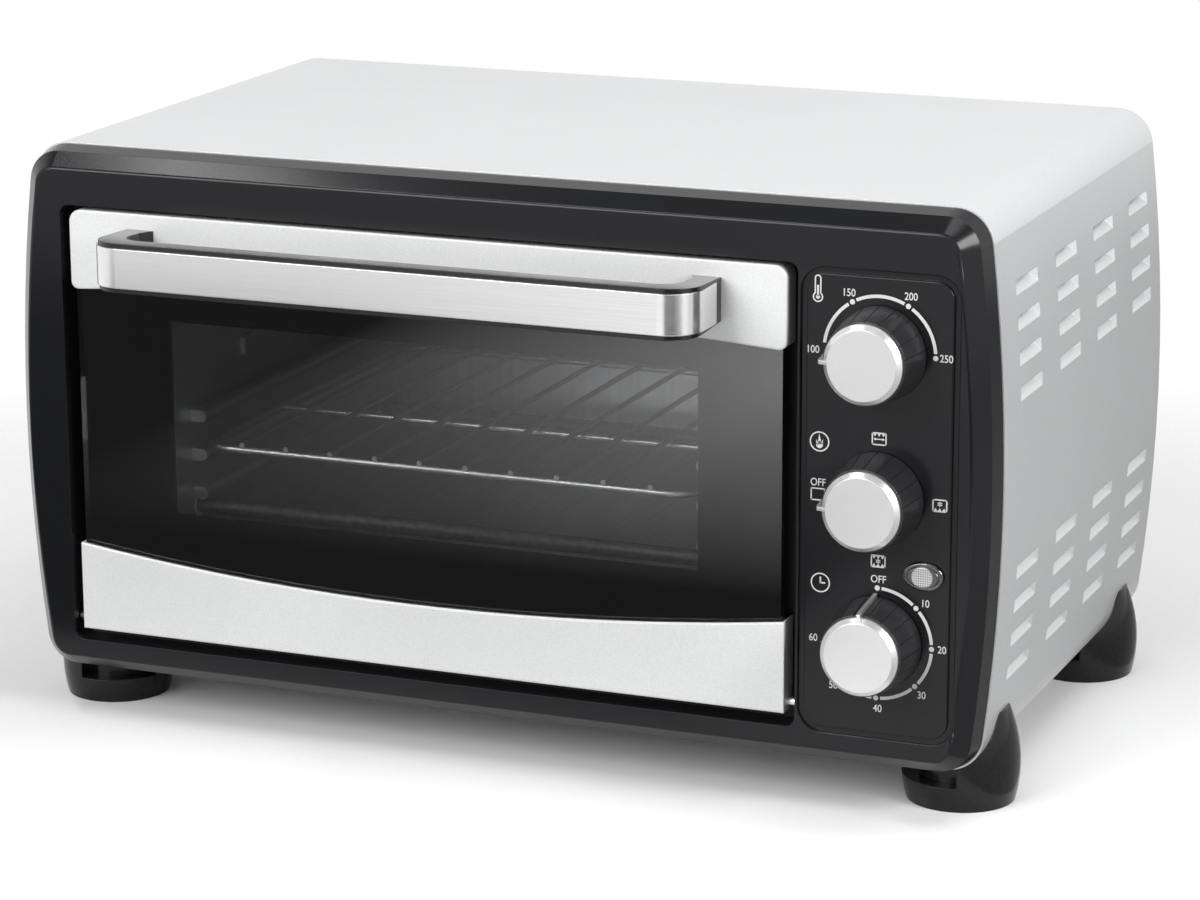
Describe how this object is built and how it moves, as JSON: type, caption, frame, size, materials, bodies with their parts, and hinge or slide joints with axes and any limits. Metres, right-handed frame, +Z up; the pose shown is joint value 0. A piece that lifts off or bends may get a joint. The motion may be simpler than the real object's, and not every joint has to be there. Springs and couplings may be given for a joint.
{
  "type": "toaster oven",
  "caption": "Countertop toaster oven with a drop-down glass door, bar handle, louvred bowed shell, turning control knobs and a wire rack that slides out with the door.",
  "frame": {"origin": "on the table, under the middle of the oven's overall box, handle included", "axes": "+X to the right seen from the front, +Y to the back, +Z up; the door faces -Y"},
  "size_m": [0.4108, 0.2786, 0.234],
  "materials": {
    "shell_metal": "satin silver coat",
    "inner_steel": "plain zinc-coated sheet",
    "frame_coat": "matt black coat",
    "rear_steel": "satin silver coat",
    "cavity_steel": "dull heat-resistant sheet",
    "trim_steel": "fine brushed",
    "screw_steel": "bright plated",
    "spring_steel": "drawn wire",
    "heater_sheath": "dull metal sheath",
    "ceramic": "matt ceramic",
    "rack_wire": "bright plated wire",
    "bezel_plastic": "satin black",
    "handle_plastic": "satin black",
    "knob_plastic": "satin black",
    "foot_plastic": "satin black",
    "gland_plastic": "matt black",
    "control_body": "matt dark moulding",
    "knob_metal": "spun face with a polished bevel",
    "lamp_lens": "clear, prismatic",
    "door_glass": "tempered, dark tinted",
    "seal_rubber": "matt"
  },
  "bodies": {
    "oven_body": {"outer_shell": "shell_metal", "base_plate": "inner_steel", "rear_panel": "rear_steel", "rear_screws": "screw_steel", "cord_gland": "gland_plastic", "front_bezel": "bezel_plastic", "bezel_screws": "screw_steel", "front_frame": "frame_coat", "cavity_wrap": "cavity_steel", "cavity_wall_left": "cavity_steel", "cavity_wall_right": "cavity_steel", "partition_wall": "inner_steel", "lower_heaters": "heater_sheath", "upper_heaters": "heater_sheath", "heater_bushes": "ceramic", "control_bracket": "inner_steel", "thermostat": "control_body", "function_switch": "control_body", "timer_unit": "control_body", "control_nuts": "screw_steel", "lamp_rim": "knob_metal", "lamp_lens": "lamp_lens", "lamp_holder": "control_body", "foot_front_left": "foot_plastic", "foot_front_right": "foot_plastic", "foot_rear_left": "foot_plastic", "foot_rear_right": "foot_plastic", "foot_screws": "screw_steel", "door_spring_left": "spring_steel", "door_spring_right": "spring_steel"},
    "door": {"door_glass": "door_glass", "door_top_trim": "trim_steel", "door_bottom_trim": "trim_steel", "glass_seal_top": "seal_rubber", "glass_seal_bottom": "seal_rubber", "handle_grip": "handle_plastic", "handle_facing": "trim_steel", "handle_screws": "screw_steel", "hinge_pin_left": "screw_steel", "hinge_pin_right": "screw_steel", "link_rivets": "screw_steel"},
    "link_left": {"door_link_left": "inner_steel"},
    "link_right": {"door_link_right": "inner_steel"},
    "rack": {"wire_rack": "rack_wire"},
    "temperature_control": {"temperature_knob": "knob_plastic", "temperature_cap": "knob_metal", "temperature_shaft": "screw_steel"},
    "function_control": {"function_knob": "knob_plastic", "function_cap": "knob_metal", "function_shaft": "screw_steel"},
    "timer_control": {"timer_knob": "knob_plastic", "timer_cap": "knob_metal", "timer_shaft": "screw_steel"}
  },
  "joints": [
    {"name": "door_hinge", "type": "hinge", "parent": "oven_body", "child": "door", "pos_m": [-0.0254, -0.09985, 0.0412], "axis": [1, 0, 0], "range_deg": [0, 90], "stiffness_Nm_per_rad": 0.15, "springref_deg": -68.75, "deforming": ["door_spring_left", "door_spring_right"]},
    {"name": "link_left_pivot", "type": "hinge", "parent": "door", "child": "link_left", "pos_m": [-0.1622, -0.08885, 0.0685], "axis": [1, 0, 0], "range_deg": [-81, 0]},
    {"name": "link_right_pivot", "type": "hinge", "parent": "door", "child": "link_right", "pos_m": [0.1114, -0.08885, 0.0685], "axis": [1, 0, 0], "range_deg": [-81, 0]},
    {"name": "rack_slide", "type": "slide", "parent": "oven_body", "child": "rack", "axis": [0, -1, 0], "range_m": [0, 0.079]},
    {"name": "temperature_turn", "type": "hinge", "parent": "oven_body", "child": "temperature_control", "pos_m": [0.1606, -0.10585, 0.1804], "axis": [0, 1, 0], "range_deg": [0, 180]},
    {"name": "function_turn", "type": "hinge", "parent": "oven_body", "child": "function_control", "pos_m": [0.1606, -0.10585, 0.1254], "axis": [0, 1, 0], "range_deg": [0, 270]},
    {"name": "timer_turn", "type": "hinge", "parent": "oven_body", "child": "timer_control", "pos_m": [0.1606, -0.10585, 0.0701], "axis": [0, 1, 0], "range_deg": [0, 270]}
  ],
  "couplings": [
    {"joint": "link_left_pivot", "follows": "door_hinge", "ratio": -0.9},
    {"joint": "link_right_pivot", "follows": "door_hinge", "ratio": -0.9},
    {"joint": "rack_slide", "follows": "door_hinge", "m_per_rad": 0.05}
  ]
}
